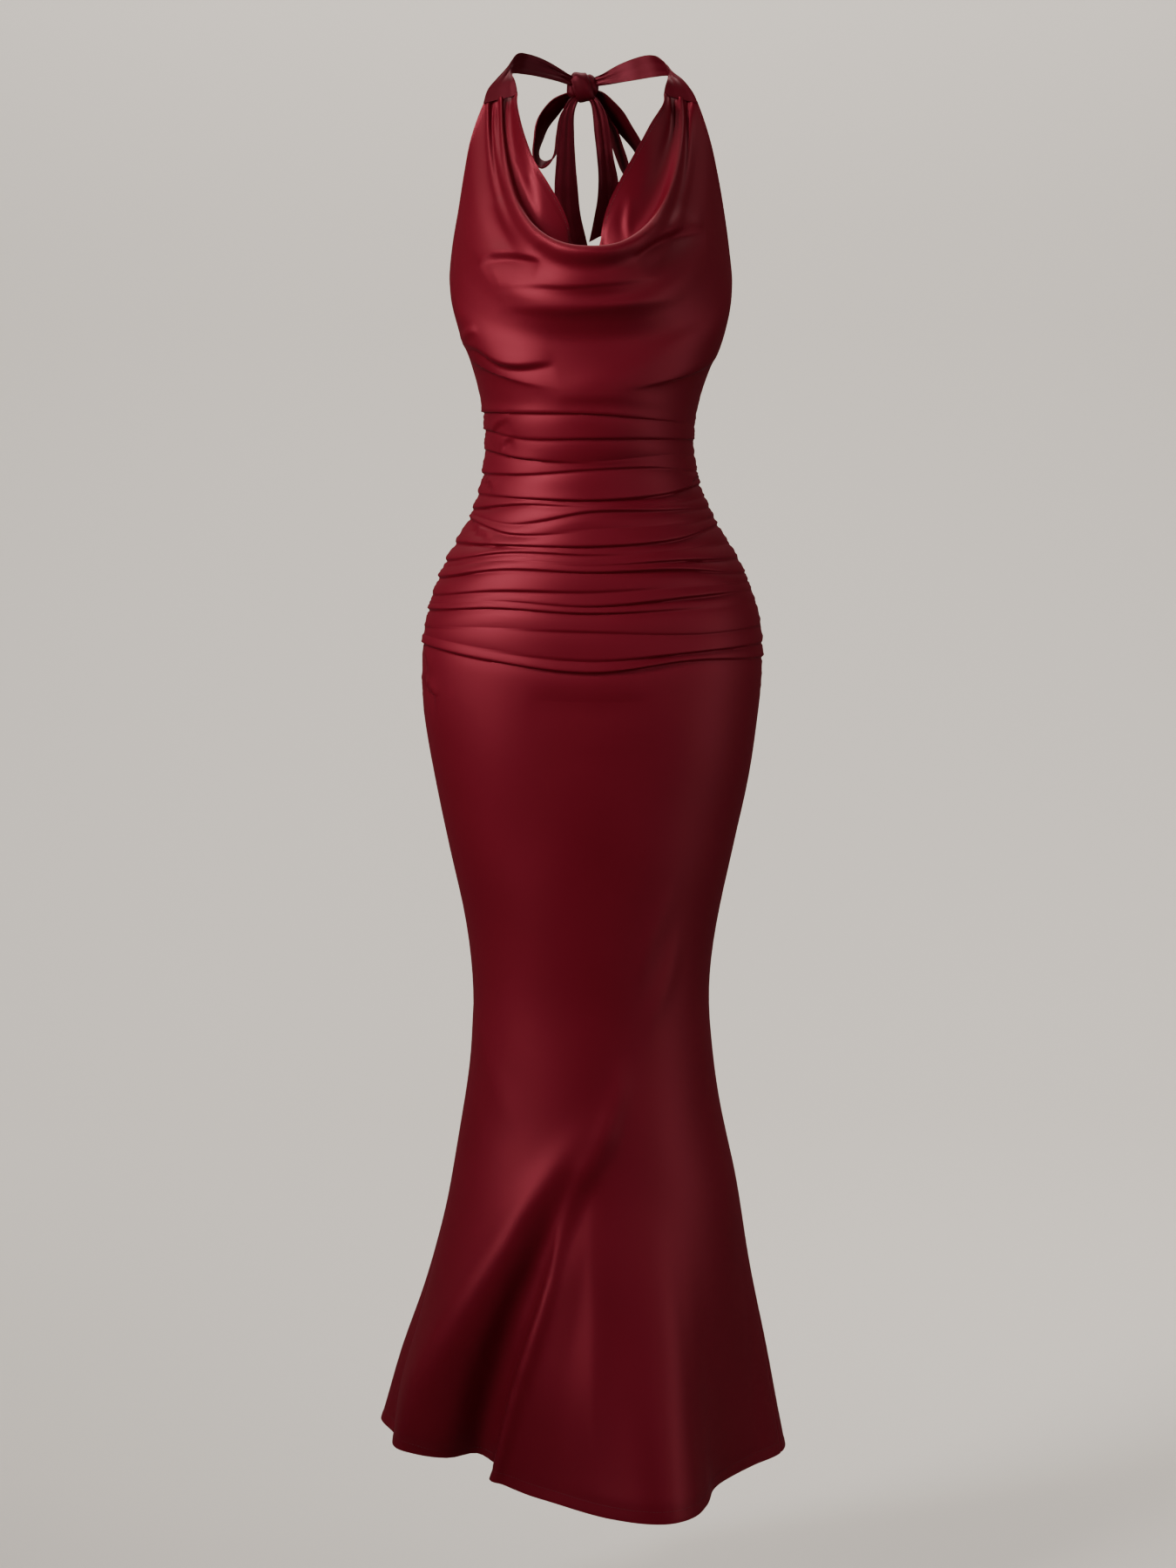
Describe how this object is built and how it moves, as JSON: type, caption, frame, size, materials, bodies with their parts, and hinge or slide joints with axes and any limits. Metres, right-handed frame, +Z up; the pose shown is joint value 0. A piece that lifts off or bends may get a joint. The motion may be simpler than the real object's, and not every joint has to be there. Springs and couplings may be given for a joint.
{
  "type": "mermaid gown",
  "caption": "Full-length halter mermaid gown of stretch satin, filled out, with a draped neck, ruched side seams, fluted flare and ties knotted in a bow behind the nape.",
  "frame": {"origin": "the nape: the neck side of the knot that holds the gown up, on the body's middle plane", "axes": "+X to the right seen from the front, +Y backwards, -Y is the gown's front, +Z up; the hem is down"},
  "size_m": [0.4233, 0.4089, 1.4399],
  "materials": {
    "satin": "satin",
    "satin_tie": "satin"
  },
  "bodies": {
    "root": {"front_panel": "satin", "back_panel": "satin", "tie_left": "satin_tie", "tie_right": "satin_tie", "knot": "satin_tie", "loop_left": "satin_tie", "loop_right": "satin_tie", "tail_left": "satin_tie", "tail_right": "satin_tie"}
  },
  "joints": []
}
